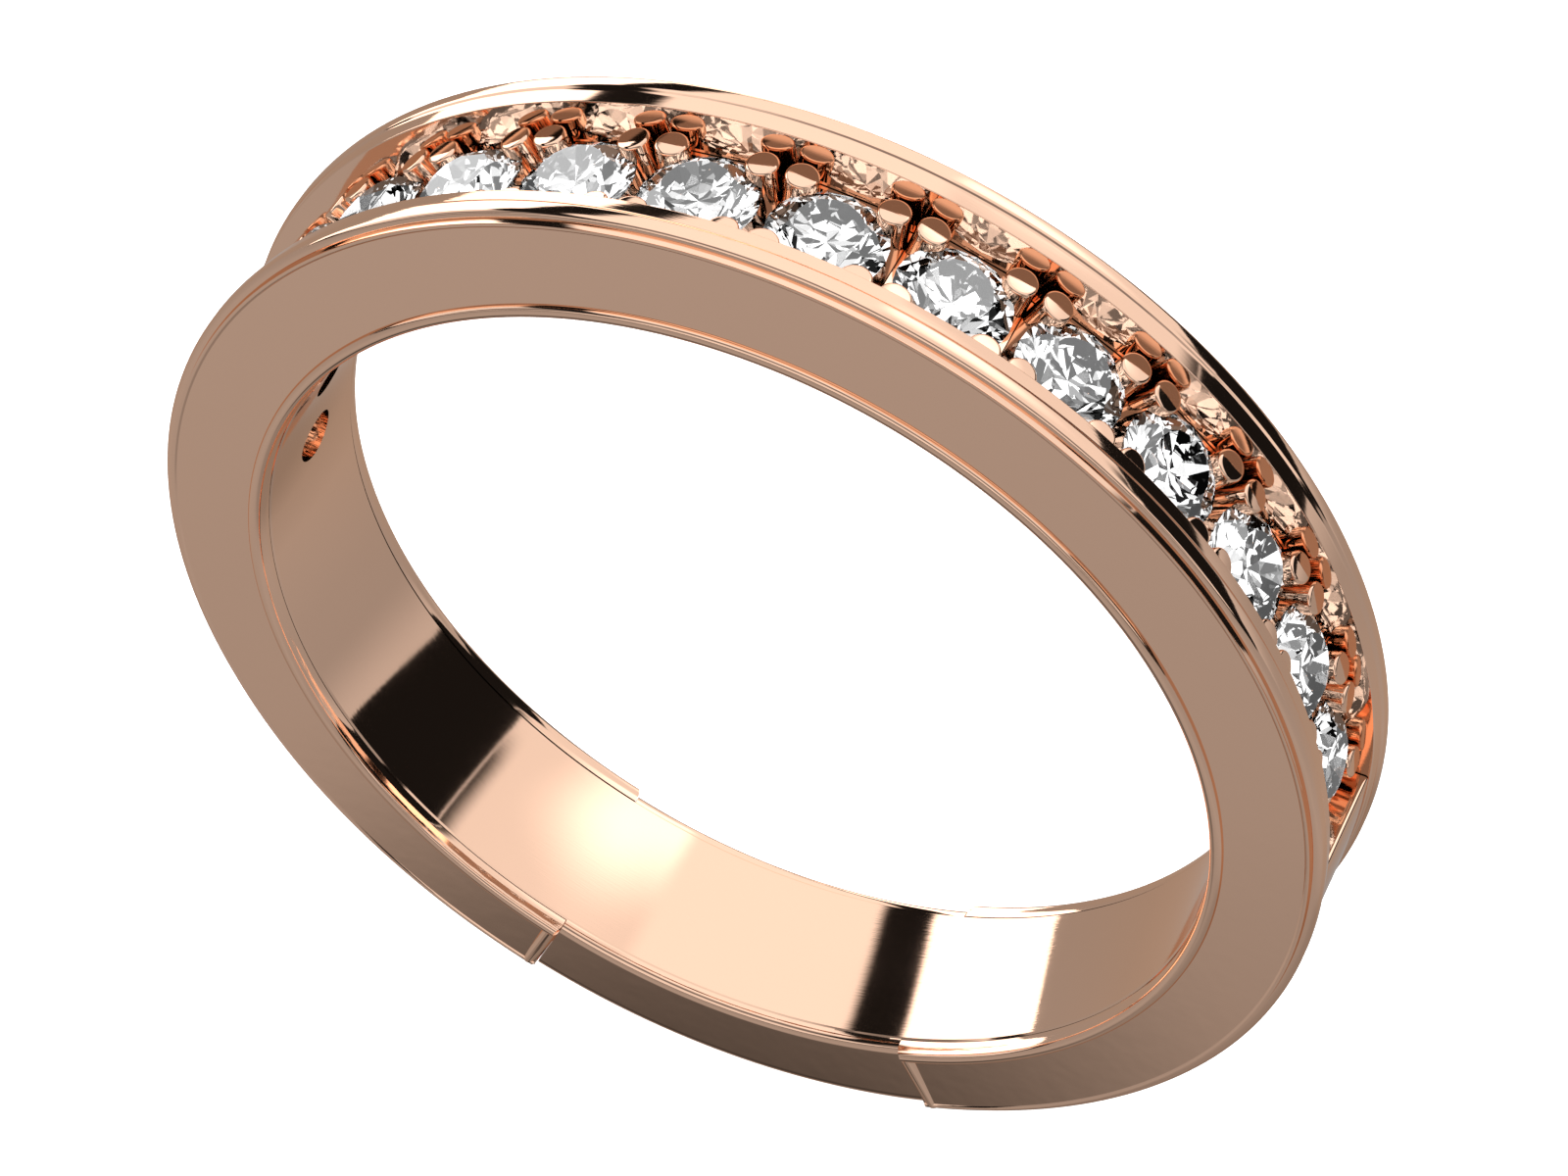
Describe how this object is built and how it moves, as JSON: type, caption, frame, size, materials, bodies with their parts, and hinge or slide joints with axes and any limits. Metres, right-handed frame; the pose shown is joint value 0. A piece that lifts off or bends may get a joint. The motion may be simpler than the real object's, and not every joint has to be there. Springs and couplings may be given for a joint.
{
  "type": "wedding band",
  "caption": "Half eternity wedding band: polished rose gold shank between two bordered side plates, with a channel of round prong-set stones over the top half.",
  "frame": {"origin": "centre of the finger hole, halfway across the band's width", "axes": "+Z towards the middle of the row of stones, +Y along the finger hole's axis, front plate at -Y, +X to the right seen from the front"},
  "size_m": [0.0214, 0.0038, 0.0212],
  "materials": {
    "rose_gold": "mirror-polished rose gold",
    "diamond": "clear faceted round brilliant"
  },
  "bodies": {
    "root": {"shank": "rose_gold", "front_side_plate": "rose_gold", "rear_side_plate": "rose_gold", "setting_01": "rose_gold", "setting_02": "rose_gold", "setting_03": "rose_gold", "setting_04": "rose_gold", "setting_05": "rose_gold", "setting_06": "rose_gold", "setting_07": "rose_gold", "setting_08": "rose_gold", "setting_09": "rose_gold", "setting_10": "rose_gold", "setting_11": "rose_gold", "setting_12": "rose_gold", "setting_13": "rose_gold", "setting_14": "rose_gold", "stone_01": "diamond", "stone_02": "diamond", "stone_03": "diamond", "stone_04": "diamond", "stone_05": "diamond", "stone_06": "diamond", "stone_07": "diamond", "stone_08": "diamond", "stone_09": "diamond", "stone_10": "diamond", "stone_11": "diamond", "stone_12": "diamond", "stone_13": "diamond", "stone_14": "diamond"}
  },
  "joints": []
}
